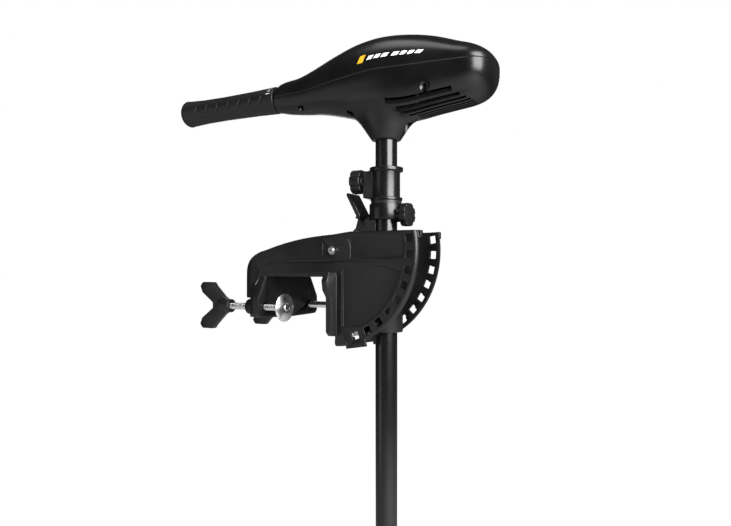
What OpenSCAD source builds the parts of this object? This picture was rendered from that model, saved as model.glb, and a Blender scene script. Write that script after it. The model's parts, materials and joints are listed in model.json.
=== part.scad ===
// Tiller-steered electric trolling motor with a lever-lock transom bracket.
// Millimetres. +X points aft (away from the boat), the tiller points to -X and +Z is up.
// The origin is the middle of the underside of the bracket's saddle, where it sits on the transom.

/* [Transom bracket] */
// Clear gap between the clamp wall and the rear leg
transom_gap = 98; // [88:1:110]
// Distance between the outer faces of the two quadrant plates
bracket_w = 68; // [68:1:76]
// Thickness of the quadrant plates
plate_t = 3.5; // [3:0.25:4]
// Width of the clamp wall at the height of its screws
clamp_wall_w = 134; // [130:1:144]
// Depth of the clamp block in front of the wall face
clamp_block_l = 22; // [20:1:28]
// Depth of the rounded nose in front of the wall face
nose_depth = 41; // [36:1:46]
// Height of the saddle's underside below the tilt pivot
pivot_h = 34; // [32:1:38]
// Radius of the circle that the tilt notches lie on
notch_r = 115.5; // [114:0.5:122]
// Number of tilt notches
notch_n = 9; // [9:1:10]
// Angle from one tilt notch to the next
notch_step = 9.84; // [9:0.02:9.84]
// Side of a square tilt notch
notch_w = 10; // [9:0.25:11]
// Tilt pivot bolt diameter
pivot_d = 8; // [6:1:10]

/* [Clamp screws] */
// Distance between the two clamp screws
clamp_span = 100; // [96:1:104]
// Depth of the clamp screws below the saddle
clamp_drop = 42.3; // [40:1:46]
// Clamp screw diameter
clamp_d = 9.525; // [8:0.125:10]
// Clamp pad diameter
pad_d = 38; // [32:1:42]
// Distance from the wall to the left screw's pad
pad_reach_left = 34; // [26:1:44]
// Distance from the wall to the right screw's pad
pad_reach_right = 46; // [30:1:54]
// Height of the clamp knob across its wings
wing_span = 67; // [56:1:72]

/* [Hinge and shaft] */
// Distance from the tilt pivot to the shaft's axis
shaft_offset = 62.3; // [62:0.5:66]
// Outside diameter of the shaft
shaft_d = 28.6; // [26:0.1:29]
// Wall of the shaft tube
shaft_wall = 3.3; // [2.5:0.1:4]
// Length of shaft between the head's neck and the lower unit
shaft_l = 762; // [640:1:914]
// Outside diameter of the hinge's tube
hinge_d = 43; // [42:0.5:44]
// Wall of the shaft bushings
bushing_t = 2; // [1.5:0.25:2]
// Length of the depth collar
collar_l = 43.2; // [38:0.2:46]

/* [Head and tiller] */
// Steering angle that the model is shown at
steer_angle = 9; // [-9:1:9]
// Greatest width of the head
head_w = 98; // [88:1:110]
// Height of the head's crown above the tilt pivot
head_top = 275; // [268:1:290]
// Wall of the head's shells
shell_t = 3; // [2.5:0.25:3.5]
// Length of the head behind the shaft's axis
head_back = 146; // [138:1:158]
// Distance from the shaft's axis to the front end of the head
head_front = 160; // [154:1:172]
// Angle that the tiller hangs down
tiller_droop = 2.2; // [0:0.1:5]
// Length of the tiller grip
grip_l = 163; // [140:1:175]
// Diameter of the tiller grip
grip_d = 37.5; // [36:0.5:40]

/* [Lower unit] */
// Motor can diameter
pod_d = 82; // [78:1:92]
// Motor can length
can_l = 150; // [140:1:180]
// Length of the nose cone
nose_l = 60; // [50:1:75]
// Length of the rear bell
bell_l = 45; // [40:1:55]
// Propeller diameter
prop_d = 250; // [220:1:280]
// Depth of the skeg below the motor's axis
skeg_drop = 140; // [132:1:150]
// Motor shaft diameter
axle_d = 9.525; // [8:0.125:11]

/* [Hidden] */
$fn = 64;

// Clearances, all radial or per side
run_clear = 0.05;        // a shaft that turns or slides in its bush
bolt_clear = 0.25;       // a bolt through a plate
part_gap = 0.3;          // faces of different moving parts
sweep_gap = 1.5;         // parts that swing past each other

// Bracket, in coordinates of the tilt pivot
pivot_x = transom_gap / 2 + 2;
leg_x = -2;                            // boat-side face of the rear leg
wall_x = leg_x - transom_gap;          // aft face of the clamp wall
block_x = wall_x - clamp_block_l;      // boat-side face of the clamp block
nose_x = wall_x - nose_depth;          // foremost point of the bracket
plate_y = bracket_w / 2;
saddle_t = 5;
saddle_w = 100;
wall_t = 4.5;
quadrant_r = notch_r + notch_w / 2 + 5.5;
rim_round = 5;                         // rounding of the rim's outer corner
rim_in_r = notch_r + notch_w / 2;
rim_gap = max(plate_y - 7, hinge_d / 2 + sweep_gap);   // half the gap between the two rims
tooth_r = rim_in_r - 4.5;              // inner ends of the teeth beside each notch
notch_top = 6.72;                      // angle of the highest notch
plate_top = 23;
block_drop = 92;
clamp_z = -pivot_h - clamp_drop;
boss_r = 10.5;
boss_l = 13;
insert_r = 7;
leg_drop = 112;

// Lock bar and lever
bar_w = notch_w - 2 * part_gap;
bar_throw = 4.8;
bar_angle = notch_top - (notch_n - 1) * notch_step;
bar_r = notch_r - bar_throw;
bar_half = plate_y - plate_t - 0.5;
rod_r = 2.5;
lock_rod_x = bar_r * cos(bar_angle);
lock_shift = bar_throw * cos(bar_angle);
guide_z = -60;
flange_z = -30;
lever_x = 24;
lever_z = 18;
lever_w = 26;
lever_hub_w = 14.4;
cheek_in = lever_hub_w / 2 + 0.6;
cheek_t = 5;

// Hinge heights above the pivot
barrel_r = 13;
tube_low = -106;
tube_high = 20;
yoke_low = 39.5;
yoke_high = 60;
collar_z = yoke_high + 4.3;
bush_r = shaft_d / 2 + run_clear + bushing_t;
bush_l = 26;
tension_z = 45;

// Head, measured from the shaft's axis, heights above the pivot
neck_z = 143;
neck_r = 18.5;
flare_r = 41;                          // radius of the neck's cone where it meets the head
neck_side = [[0, neck_z - 1], [neck_r + 2, neck_z - 1], [neck_r + 2, neck_z + 4], [27, neck_z + 15],
    [flare_r - 9, neck_z + 30], [flare_r - 9, neck_z + 50], [0, neck_z + 50]];
tiller_z = 213;
grip_gap = 3;
tube_r = 12.5;

// Lower unit
pod_z = neck_z - shaft_l - pod_d / 2;
pod_r = pod_d / 2;
pod_t = 3;

function arc(cx, cy, r, from, to, n = 12) =
    [for (i = [0 : n]) let (a = from + (to - from) * i / n) [cx + r * cos(a), cy + r * sin(a)]];
function mix(a, b, k) = a + (b - a) * k;
function mirror_y(points) = [for (i = [len(points) - 1 : -1 : 0]) [points[i][0], -points[i][1]]];
function mirror_x(points) = [for (i = [len(points) - 1 : -1 : 0]) [-points[i][0], points[i][1]]];

// Places a drawing at the tilt pivot, and on the shaft's axis turned to the steering angle
module at_pivot() { translate([pivot_x, 0, pivot_h]) children(); }
module on_shaft() { at_pivot() translate([shaft_offset, 0, 0]) children(); }
module steered() { on_shaft() rotate([0, 0, steer_angle]) children(); }
// Origin at the front of the head, +X out along the tiller
module on_tiller() {
    steered() translate([-head_front, 0, tiller_z]) rotate([0, tiller_droop, 180]) children();
}
// Origin on the motor's axis below the shaft, +X towards the propeller
module on_pod() { steered() translate([0, 0, pod_z]) children(); }
// Draws an outline in the XZ plane and gives it a thickness between two values of Y
module upright(y0, y1) {
    translate([0, y1, 0]) rotate([90, 0, 0]) linear_extrude(y1 - y0) children();
}
// Draws an outline in the YZ plane and gives it a thickness between two values of X
module across(x0, x1) {
    translate([x0, 0, 0]) rotate([90, 0, 90]) linear_extrude(x1 - x0) children();
}
module rod_x(r, x0, x1) { translate([x0, 0, 0]) rotate([0, 90, 0]) cylinder(r = r, h = x1 - x0); }
module rod_y(r, l) { rotate([90, 0, 0]) cylinder(r = r, h = l, center = true); }
module pipe(r, bore, z0, z1) {
    translate([0, 0, z0]) difference() {
        cylinder(r = r, h = z1 - z0);
        translate([0, 0, -1]) cylinder(r = bore, h = z1 - z0 + 2);
    }
}
module pipe_x(r, bore, x0, x1) { rotate([0, 90, 0]) pipe(r, bore, x0, x1); }

// ---- Transom bracket ----

// Outline of a quadrant plate with its rounded rim
module quadrant_outline(r) {
    intersection() {
        circle(r = r, $fn = 180);
        polygon([
            [-24, -pivot_h], [leg_x + 2, -pivot_h], [leg_x + 2, -leg_drop + 4], [4, -leg_drop],
            [4, -r - 1], [r + 1, -r - 1], [r + 1, plate_top], [28, plate_top + 1], [0, 21], [-24, 19]
        ]);
    }
}
// Side view of the arms that run forward over the saddle to the rounded nose
module arm_outline() {
    polygon(concat(
        [[14, -pivot_h - 0.5], [14, 21.1]],
        arc(10, 21.15 - 325, 325, 90, 109.4, 8),
        [for (p = arc(0, 0, 1, 99, 180, 12)) [nose_x + 46 + 46 * p[0], 54 * p[1] - 52]],
        [[nose_x + 5, -64], [wall_x, -64], [wall_x, -pivot_h - 0.5]]
    ));
}
// Plan of the arms, from the quadrant plates out to the nose
module arm_plan(inset) {
    r = 18;
    half = concat(
        [[15, plate_y - inset], [-18, plate_y - inset]],
        arc(nose_x + r, clamp_span / 2 - 13, r - inset, 75, 180, 8)
    );
    polygon(concat(half, mirror_y(half)));
}
// Clamp block seen from aft
module block_outline() {
    w = clamp_wall_w / 2;
    half = concat(
        [[0, -pivot_h + 1], [44, -pivot_h + 1]],
        arc(44, -pivot_h - 9, 10, 90, 25, 5),
        [[w, clamp_z + 12]],
        arc(w - 8, clamp_z - 6, 8, 0, -80, 5),
        [[38, -block_drop + 1], [10, -block_drop]]
    );
    polygon(concat(half, mirror_x(half)));
}
module block_plan() {
    r = 15;
    half = concat(
        [[wall_x, clamp_wall_w / 2 + 1]],
        arc(block_x + r, clamp_wall_w / 2 - r, r, 90, 180, 6)
    );
    polygon(concat(half, mirror_y(half)));
}
module leg_outline() {
    half = [[0, -pivot_h + 1], [52, -pivot_h + 1], [56, -40], [54, -52], [46, -62], [46, 5 - leg_drop],
        [41, -leg_drop], [0, -leg_drop]];
    polygon(concat(half, mirror_x(half)));
}
// Section of a quadrant plate through the pivot's axis: a plate with a deep, rounded rim
module quadrant_section() {
    polygon(concat(
        [[0, plate_y - plate_t], [tooth_r, plate_y - plate_t], [tooth_r, rim_gap], [quadrant_r, rim_gap]],
        arc(quadrant_r - rim_round, plate_y - rim_round, rim_round, 0, 90, 8),
        [[0, plate_y]]
    ));
}
// Recessed panels in the outer faces of the quadrant plates
module panels() {
    r = notch_r - notch_w / 2 - 3.5;
    polygon(concat([[28, 18]], arc(0, 0, r, 9.5, -6, 4), [[28, -11]]));
    polygon(concat([[17, -25], [70, -20]], arc(0, 0, r, -15, -66, 10), [[17, -100]]));
}
module notches(y0, y1) {
    for (i = [0 : notch_n - 1])
        upright(y0, y1) rotate(notch_top - i * notch_step)
            translate([rim_in_r - notch_w, -notch_w / 2]) square([notch_w, notch_w]);
}
module bracket_side(side) {
    mirror([0, side > 0 ? 0 : 1, 0]) {
        difference() {
            intersection() {
                upright(rim_gap, plate_y) quadrant_outline(quadrant_r);
                rotate([-90, 0, 0]) rotate_extrude($fn = 180) quadrant_section();
            }
            upright(plate_y - 1, plate_y + 1) panels();
        }
        // Stop tabs at both ends of the rim
        upright(rim_gap - 5, rim_gap + 1) translate([quadrant_r - 3, plate_top - 9]) square([5, 9]);
        upright(rim_gap + 4, plate_y) polygon([
            [22, -quadrant_r - 2], [53, -quadrant_r + 3], [50, -leg_drop], [22, -leg_drop - 7]
        ]);
        // Pivot boss
        translate([0, plate_y - plate_t + 1.5, 0]) rotate([90, 0, 0]) cylinder(r = 16, h = 1.5 + 0.4);
    }
}
module transom_bracket() {
    color("#202022") at_pivot() difference() {
        union() {
            for (side = [-1, 1]) bracket_side(side);
            intersection() {
                upright(-80, 80) arm_outline();
                translate([0, 0, -65]) linear_extrude(100) difference() {
                    arm_plan(0);
                    arm_plan(plate_t);
                }
            }
            translate([wall_x - wall_t, -saddle_w / 2, -pivot_h])
                cube([leg_x + 8 - wall_x + wall_t, saddle_w, saddle_t]);
            difference() {
                intersection() {
                    across(block_x, wall_x) block_outline();
                    translate([0, 0, -block_drop - 1]) linear_extrude(block_drop) block_plan();
                }
                // Pocket behind the nose, open downwards
                translate([block_x + wall_t, -34, -block_drop - 5])
                    cube([clamp_block_l - 2 * wall_t, 68, block_drop - pivot_h - 1]);
            }
            for (side = [-1, 1]) translate([0, side * clamp_span / 2, clamp_z])
                rod_x(boss_r, block_x - boss_l, wall_x);
            difference() {
                across(leg_x, leg_x + 9) leg_outline();
                translate([leg_x + 5, -plate_y + plate_t, -leg_drop - 1])
                    cube([10, bracket_w - 2 * plate_t, leg_drop - pivot_h + 1]);
            }
        }
        notches(-plate_y - 1, plate_y + 1);
        rod_y(pivot_d / 2 + bolt_clear, bracket_w + 10);
        for (side = [-1, 1]) translate([0, side * clamp_span / 2, clamp_z])
            rod_x(insert_r, block_x - boss_l - 1, wall_x + 1);
    }
}
module clamp_inserts() {
    color("#b9975a") at_pivot() for (side = [-1, 1]) translate([0, side * clamp_span / 2, clamp_z])
        pipe_x(insert_r, clamp_d / 2 + run_clear, block_x - boss_l, wall_x);
}
module pivot_bolt() {
    color("#c9c9c6") at_pivot() {
        rod_y(pivot_d / 2, bracket_w + 14);
        translate([0, -plate_y, 0]) rotate([90, 0, 0]) {
            cylinder(r = pivot_d / 2 + 4, h = 1.2);
            difference() {
                translate([0, 0, 1.2]) cylinder(r = pivot_d / 2 + 1.2, h = 3.4);
                translate([0, 0, 2]) cylinder(r = pivot_d / 4, h = 4, $fn = 6);
            }
        }
    }
}
module pivot_nut() {
    color("#b9b9b6") at_pivot() translate([0, plate_y, 0]) rotate([-90, 0, 0]) {
        pipe(pivot_d / 2 + 4, pivot_d / 2, 0, 1.2);
        difference() {
            translate([0, 0, 1.2]) cylinder(r = pivot_d * 0.92, h = 5.6, $fn = 6);
            cylinder(r = pivot_d / 2, h = 20);
        }
    }
}

// ---- Clamp screws, each with a two-winged knob and a swivel pad ----

function reach(side) = side < 0 ? pad_reach_left : pad_reach_right;
module at_pad(side) {
    at_pivot() translate([wall_x + reach(side), side * clamp_span / 2, clamp_z]) children();
}
module clamp_screw(side) {
    color("#cfcfcd") at_pad(side) {
        rod_x(clamp_d / 2, -120, -3);
        translate([-3, 0, 0]) sphere(r = clamp_d / 2);
    }
}
module clamp_pad(side) {
    ball = clamp_d / 2 + run_clear;
    color("#d6d6d4") at_pad(side) rotate([0, 90, 0]) rotate_extrude($fn = 96) difference() {
        polygon(concat(
            [[0, 3.2], [pad_d / 2 - 8, 3.2], [pad_d / 2 - 1, 0.2], [pad_d / 2, -0.6], [pad_d / 2 - 0.6, -1.6]],
            [[pad_d / 2 - 8.5, 1.2], [clamp_d / 2 + 2, 1.2], [clamp_d / 2 + 2, -6], [0, -6]]
        ));
        translate([0, -3]) circle(r = ball);
        translate([0, -10]) square([ball, 7]);
    }
}
module clamp_knob(side) {
    half = wing_span / 2;
    wing = [[-12, 8], [-20, 14], [-35, half - 6], [-40, half], [-60, half], [-65, half - 6],
        [-61, half - 15], [-40, 4]];
    other = [for (i = [len(wing) - 1 : -1 : 0]) [wing[i][0], -wing[i][1]]];
    color("#19191b") at_pad(side) translate([-92, 0, 0]) difference() {
        union() {
            rod_x(9.5, -28, 0);
            upright(-4.6, 4.6) polygon(concat(wing, other));
        }
        rod_x(clamp_d / 2, -29, 1);
    }
}

// ---- Tilt hinge ----

module cheek_outline() {
    x = shaft_offset;
    polygon([
        [0, barrel_r], [18, 26], [33, 38], [50, 52], [x, 52], [x, -70], [x - 18, -70],
        [x - 32, -40], [8, -12], [0, -barrel_r]
    ]);
}
module tilt_hinge() {
    color("#232325") at_pivot() difference() {
        union() {
            rod_y(barrel_r, 2 * (plate_y - plate_t - part_gap - 0.4));
            for (y = [-cheek_in - cheek_t, cheek_in]) upright(y, y + cheek_t) cheek_outline();
            translate([shaft_offset, 0, tube_low])
                cylinder(r = hinge_d / 2, h = tube_high - tube_low, $fn = 96);
            translate([shaft_offset, 0, yoke_low])
                cylinder(r = hinge_d / 2 + 0.5, h = yoke_high - yoke_low, $fn = 96);
            translate([shaft_offset, 0, tension_z]) rod_x(9, 15, 25.5);
            // Guide for the lock bar's rod
            translate([lock_rod_x - 7, -8.5, guide_z]) cube([14, 17, 10]);
            // Web joining the barrel to the tube under the lever
            upright(-cheek_in - 1, cheek_in + 1) polygon([
                [0, -barrel_r], [0, -4], [12, -4], [lock_rod_x - 6, -22], [lock_rod_x - 6, -32], [10, -13]
            ]);
        }
        rod_y(pivot_d / 2 + run_clear, bracket_w);
        translate([shaft_offset, 0, 0]) {
            translate([0, 0, tube_low - 1]) cylinder(r = shaft_d / 2 + 1, h = 200);
            translate([0, 0, tube_low - 1]) cylinder(r = bush_r, h = bush_l + 1);
            translate([0, 0, yoke_high - bush_l + 6]) cylinder(r = bush_r, h = bush_l);
            translate([0, 0, tension_z]) rod_x(4, 12, 30);
        }
        translate([lever_x, 0, lever_z]) rod_y(2.5, 60);
        // Slot that the rod slides in
        translate([lock_rod_x - rod_r - 0.4, -rod_r - 0.3, guide_z - 1])
            cube([2 * rod_r + 0.8 + lock_shift, 2 * rod_r + 0.6, 12]);
    }
}
module upper_bushing() {
    color("#d8d4c4") on_shaft() {
        pipe(bush_r, shaft_d / 2 + run_clear, yoke_high - bush_l + 6, yoke_high);
        pipe(hinge_d / 2 - 1.5, shaft_d / 2 + run_clear, yoke_high, collar_z - part_gap);
    }
}
module lower_bushing() {
    color("#d8d4c4") on_shaft() pipe(bush_r, shaft_d / 2 + run_clear, tube_low, tube_low + bush_l);
}
module tension_screw() {
    color("#c4c4c1") on_shaft() translate([0, 0, tension_z]) rod_x(4 - run_clear, bush_r + 0.3, 33);
}
module fluted_knob(r, h, flutes) {
    difference() {
        cylinder(r = r, h = h);
        for (i = [0 : flutes - 1]) rotate(i * 360 / flutes)
            translate([r + 1.6, 0, -1]) cylinder(r = 3.2, h = h + 2, $fn = 24);
    }
}
module tension_knob() {
    color("#19191b") on_shaft() translate([0, 0, tension_z]) difference() {
        translate([25.8, 0, 0]) rotate([0, 90, 0]) fluted_knob(15.2, 9.5, 8);
        rod_x(4 - run_clear, 20, 33);
    }
}

// ---- Tilt release lever and lock bar ----

cam_pin_r = 1.5;
pin_drop = -3;        // height of the cross pin above the lever's own pin
lever_throw = 24;
module lever_outline() {
    polygon(concat(
        [[-4, -7], [-6, 0], [-6, 10], [-3, 20], [-1, 28], [-16, 55], [-16.5, 57.5], [-14.5, 59], [-11.5, 57.5],
        [5, 29], [4, 19], [5, 6], [11, 5.5], [15.2, 3]],
        arc(0, 0, 15.9, 0, -44, 6),
        arc(0, 0, 17.5, -46, -80, 5),
        [[0, -13]]
    ));
}
// Where the cross pin is, seen from the lever, when the lever has turned by an angle
function cam_point(turn) =
    let (k = turn / lever_throw, x = lock_rod_x - lever_x + k * lock_shift,
         z = pin_drop + k * bar_throw * sin(bar_angle))
    [x * cos(turn) + z * sin(turn), z * cos(turn) - x * sin(turn)];
module release_lever() {
    w = cam_pin_r + 0.3;
    color("#1d1d1f") at_pivot() translate([lever_x, 0, lever_z]) difference() {
        union() {
            upright(-lever_hub_w / 2, lever_hub_w / 2) lever_outline();
            intersection() {
                upright(-lever_w / 2, lever_w / 2) lever_outline();
                translate([-40, -lever_w, 24]) cube([80, 2 * lever_w, 60]);
            }
        }
        rod_y(2.5 + run_clear, 40);
        // Cam slots for the cross pin, and the gap between them for the rod
        for (i = [0 : 6 : lever_throw - 6])
            let (p = cam_point(i), q = cam_point(i + 6), a = atan2(q[1] - p[1], q[0] - p[0]))
            upright(-20, 20) translate(p) rotate(a) {
                circle(r = w, $fn = 24);
                translate([0, -w]) square([norm(q - p), 2 * w]);
            }
        upright(-20, 20) translate(cam_point(lever_throw)) circle(r = w, $fn = 24);
        upright(-rod_r - 0.4, rod_r + 0.4)
            polygon([[5.4, 7], [5.4, -8.4], [1, -18], [1, -22], [24, -22], [24, 7]]);
    }
}
module lever_pin() {
    color("#c9c9c6") at_pivot() translate([lever_x, 0, lever_z]) rod_y(2.5, 2 * (cheek_in + cheek_t));
}
module lock_bar() {
    pin_z = lever_z + pin_drop;
    color("#b4b4b1") at_pivot() {
        upright(-bar_half, bar_half) rotate(bar_angle) translate([bar_r - bar_w / 2, -bar_w / 2])
            square(bar_w);
        translate([lock_rod_x, 0, -104]) cylinder(r = rod_r, h = pin_z + rod_r + 104);
        translate([lock_rod_x, 0, flange_z]) cylinder(r = rod_r + 2, h = 2);
        // Cross pin that runs in the lever's cam slots
        translate([lock_rod_x, 0, pin_z]) rod_y(cam_pin_r, lever_hub_w - 0.6);
    }
}
// Coil spring between the guide and the flange on the rod above it
module lock_spring() {
    r = rod_r + 1.5;
    wire = 0.6;
    low = guide_z + 10 + wire;
    high = flange_z - wire;
    turns = 6;
    steps = 14 * turns;
    sides = 6;
    rings = [for (i = [0 : steps]) [for (j = [0 : sides - 1])
        let (a = 360 * turns * i / steps, b = 360 * j / sides, d = r + wire * cos(b))
        [d * cos(a), d * sin(a), mix(low, high, i / steps) + wire * sin(b)]]];
    points = [for (ring = rings) each ring];
    faces = concat(
        [[for (j = [sides - 1 : -1 : 0]) j]],
        [for (i = [0 : steps - 1]) for (j = [0 : sides - 1])
            [i * sides + j, i * sides + (j + 1) % sides, (i + 1) * sides + (j + 1) % sides, (i + 1) * sides + j]],
        [[for (j = [0 : sides - 1]) steps * sides + j]]
    );
    color("#bdbdba") at_pivot() translate([lock_rod_x, 0, 0]) polyhedron(points, faces);
}

// ---- Depth collar ----

module depth_collar() {
    r = shaft_d / 2 + 3.7;
    color("#262628") steered() difference() {
        union() {
            translate([0, 0, collar_z]) cylinder(r = r, h = collar_l, $fn = 96);
            translate([0, 0, collar_z]) cylinder(r = r + 3, h = 3.9, $fn = 96);
            translate([0, 0, collar_z + collar_l - 5.2]) cylinder(r = r + 4, h = 5.2, $fn = 96);
            translate([-r - 11, -10, collar_z + 4]) cube([r + 6, 20, collar_l - 8]);
        }
        translate([0, 0, collar_z - 1]) cylinder(r = shaft_d / 2 + run_clear, h = collar_l + 2);
        translate([0, 0, collar_z + collar_l / 2 + 5]) rod_x(3, -r - 12, -8);
    }
}
module depth_screw() {
    r = shaft_d / 2 + 3.7;
    color("#c4c4c1") steered() translate([0, 0, collar_z + collar_l / 2 + 5])
        rod_x(3 - run_clear, -r - 26, -shaft_d / 2 - 0.4);
}
module depth_knob() {
    r = shaft_d / 2 + 3.7;
    color("#19191b") steered() translate([0, 0, collar_z + collar_l / 2 + 5]) difference() {
        union() {
            translate([-r - 29, 0, 0]) rotate([0, 90, 0]) fluted_knob(16, 14, 6);
            rod_x(8, -r - 16, -r - 11.4);
        }
        rod_x(3 - run_clear, -r - 26, 0);
    }
}

// ---- Shaft and head ----

module shaft_tube() {
    color("#1c1c1e") steered()
        pipe(shaft_d / 2, shaft_d / 2 - shaft_wall, neck_z - shaft_l - pod_t, neck_z + 45);
}

// Stations along the head from front to back: position, crown, keel, half width as a share of head_w
function head_stations() = [
    [-head_front, -43.5, 194.5, 0.19], [-145, -39.5, 191.5, 0.205], [-124, -36.5, 189, 0.24],
    [-98, -28, 187, 0.30], [-67, -16, 181, 0.375], [-32, -4.5, 172, 0.44], [0, 0, 168, 0.48],
    [35, -1.5, 167, 0.497], [70, -8, 173, 0.5], [head_back - back_round, -21, 179, 0.497]
];
seam_z = 224.5;
back_round = 38;      // length of the rounding at the back of the head
// Height of the seam between the two shells
function seam_at(x) = x > 0 ? seam_z : mix(seam_z, tiller_z, min(1, -x / 110));
// Closing curve at the back, 0 where it starts and 1 at the end
function back_station(k) =
    let (s = head_stations()[len(head_stations()) - 1], c = pow(max(0, 1 - pow(k, 3)), 1 / 2.8))
    [s[0] + back_round * k, mix(seam_z - head_top, s[1] - 12 * k, c), mix(seam_z, s[2] + 8 * k, c), s[3] * c];
function head_rows() =
    concat(head_stations(), [for (k = [0.3, 0.5, 0.66, 0.8, 0.9, 0.96, 0.993]) back_station(k)]);
function power(v, e) = sign(v) * pow(abs(v), e);
// One point of a half section, up is 1 for the cover and -1 for the housing
function shell_point(row, inset, up, a) =
    let (x = min(row[0], head_back - inset - 0.3), s = seam_at(row[0]),
         rise = up > 0 ? max(0.5, head_top + row[1] - s - inset) : max(0.5, s - row[2] - inset),
         w = max(0.4, row[3] * head_w - inset))
    [x, w * power(cos(a), 0.8), s + up * rise * power(sin(a), 0.8)];
module half_shell(up) {
    rows = head_rows();
    n = len(rows);
    k = 16;
    outer = [for (row = rows) for (j = [0 : k]) shell_point(row, 0, up, 180 * j / k)];
    inner = [for (row = rows) for (j = [0 : k]) shell_point(row, shell_t, up, 180 * j / k)];
    m = k + 1;
    o = n * m;
    faces = concat(
        [for (i = [0 : n - 2]) for (j = [0 : k - 1])
            [i * m + j, (i + 1) * m + j, (i + 1) * m + j + 1, i * m + j + 1]],
        [for (i = [0 : n - 2]) for (j = [0 : k - 1])
            [o + i * m + j, o + i * m + j + 1, o + (i + 1) * m + j + 1, o + (i + 1) * m + j]],
        [for (i = [0 : n - 2]) [i * m, o + i * m, o + (i + 1) * m, (i + 1) * m]],
        [for (i = [0 : n - 2]) [i * m + k, (i + 1) * m + k, o + (i + 1) * m + k, o + i * m + k]],
        [for (j = [0 : k - 1]) [j, j + 1, o + j + 1, o + j]],
        [[for (j = [k : -1 : 0]) (n - 1) * m + j]],
        [[for (j = [0 : k]) o + (n - 1) * m + j]],
        [[(n - 1) * m + k, (n - 1) * m, o + (n - 1) * m, o + (n - 1) * m + k]]
    );
    polyhedron(concat(outer, inner),
               up > 0 ? faces : [for (f = faces) [for (i = [len(f) - 1 : -1 : 0]) f[i]]]);
}

// Screws that hold the shells together: position, distance from the middle, height of the boss, its radius
housing_screw_at = [
    [70, 0.39 * head_w, 192, 4.5], [-41, 0.225 * head_w, 180, 4.5], [-117, 0.184 * head_w, 195.5, 3.5]
];
screw_r = 1.8;
grommet_x = 30;
grommet_r = 6;
cable_bore = 8;
module at_housing_screws() {
    for (p = housing_screw_at) for (side = [-1, 1]) translate([p[0], side * p[1], p[2]]) {
        $screw_l = seam_at(p[0]) - p[2];
        $boss_r = p[3];
        children();
    }
}
module head_cover() {
    color("#1b1b1d") steered() half_shell(1);
}
module head_housing() {
    color("#1b1b1d") steered() difference() {
        union() {
            half_shell(-1);
            // Neck: a cone that is longer than it is wide where it meets the head
            intersection() {
                rotate_extrude($fn = 96) polygon([
                    [shaft_d / 2 - 1, neck_z], [neck_r, neck_z], [neck_r + 1, neck_z + 2],
                    [30, neck_z + 15], [flare_r - 2, neck_z + 28], [flare_r, neck_z + 32],
                    [shaft_d / 2 - 1, neck_z + 46]
                ]);
                across(-flare_r - 1, flare_r + 1) polygon(concat(neck_side, mirror_x(neck_side)));
            }
            // Spout for the battery cable, aft of the neck
            upright(-grommet_r - 2, grommet_r + 2) polygon([
                [neck_r - 3, neck_z + 12], [flare_r - 7, neck_z + 15], [flare_r + 2, neck_z + 20],
                [flare_r + 2, neck_z + 28], [neck_r - 3, neck_z + 28]
            ]);
            at_housing_screws() cylinder(r = $boss_r, h = $screw_l - 0.5);
        }
        translate([0, 0, neck_z - 1]) cylinder(r = shaft_d / 2, h = 48);
        at_housing_screws() translate([0, 0, -20]) cylinder(r = screw_r, h = 80);
        translate([grommet_x, 0, neck_z]) cylinder(r = grommet_r, h = 40);
        translate([0, 0, neck_z + 11]) rotate([90, 0, 0]) cylinder(r = 2.5, h = 30);
    }
}
module housing_screws() {
    color("#8d8d8b") steered() at_housing_screws() {
        translate([0, 0, 1]) cylinder(r = screw_r, h = $screw_l - 2);
    }
}
module neck_screw() {
    color("#8d8d8b") steered() translate([0, 0, neck_z + 11]) rotate([90, 0, 0]) difference() {
        translate([0, 0, shaft_d / 2]) cylinder(r = 2.5, h = neck_r + 1.4 - shaft_d / 2);
        translate([0, 0, neck_r]) cylinder(r = 1.1, h = 5, $fn = 6);
    }
}
module cable_grommet() {
    color("#111111") steered() translate([grommet_x, 0, 0])
        pipe(grommet_r, cable_bore / 2, neck_z + 16, neck_z + 30);
}

// ---- Speed control ----

switch_x = -head_front - 24;      // front face of the switch, along the tiller
module speed_switch() {
    color("#2d2d30") difference() {
        union() {
            on_tiller() translate([switch_x - 30, -18, -15]) cube([30, 36, 30]);
            steered() for (y = [-12, 12]) translate([46, y, 173.2]) cylinder(r = 4, h = 36);
        }
        on_tiller() rod_x(9.3, switch_x - 24, switch_x + 1);
    }
}
module switch_rotor() {
    color("#d9d2b8") on_tiller() {
        rod_x(9, switch_x - 23.6, switch_x - 2);
        rod_x(3, switch_x - 4, -12);
    }
}
module tiller_bushing() {
    color("#d8d4c4") on_tiller() pipe_x(15.6, tube_r + run_clear, -22, -1);
}
module tiller_tube() {
    color("#2a2a2c") on_tiller() pipe_x(tube_r, tube_r - 2, -152, grip_l - 34);
}
module grip_drive_tube() {
    color("#9a9a98") on_tiller() pipe_x(5, 3.3, -158, grip_l - 30);
}
module tiller_grip() {
    r = grip_d / 2;
    color("#1d1d1f") on_tiller() rotate([0, 90, 0]) rotate_extrude($fn = 96) difference() {
        polygon(concat(
            [[0, grip_gap], [r - 0.6, grip_gap], [r, grip_gap + 1.5], [r - 1.2, 40], [r - 2, 90], [r - 1.6, 126],
             [r - 0.2, grip_l - 12]],
            [for (a = [10 : 16 : 90]) [(r + 0.6) * cos(a), grip_l - 9 + 12 * sin(a)]]
        ));
        translate([0, -1]) square([tube_r + run_clear, grip_l - 29]);
    }
}

// ---- Lower unit ----

axle_r = axle_d / 2;
bell_x = can_l / 2;
hub_x = bell_x + bell_l + 2;
hub_l = 28;
bearing_r = 13;

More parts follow.
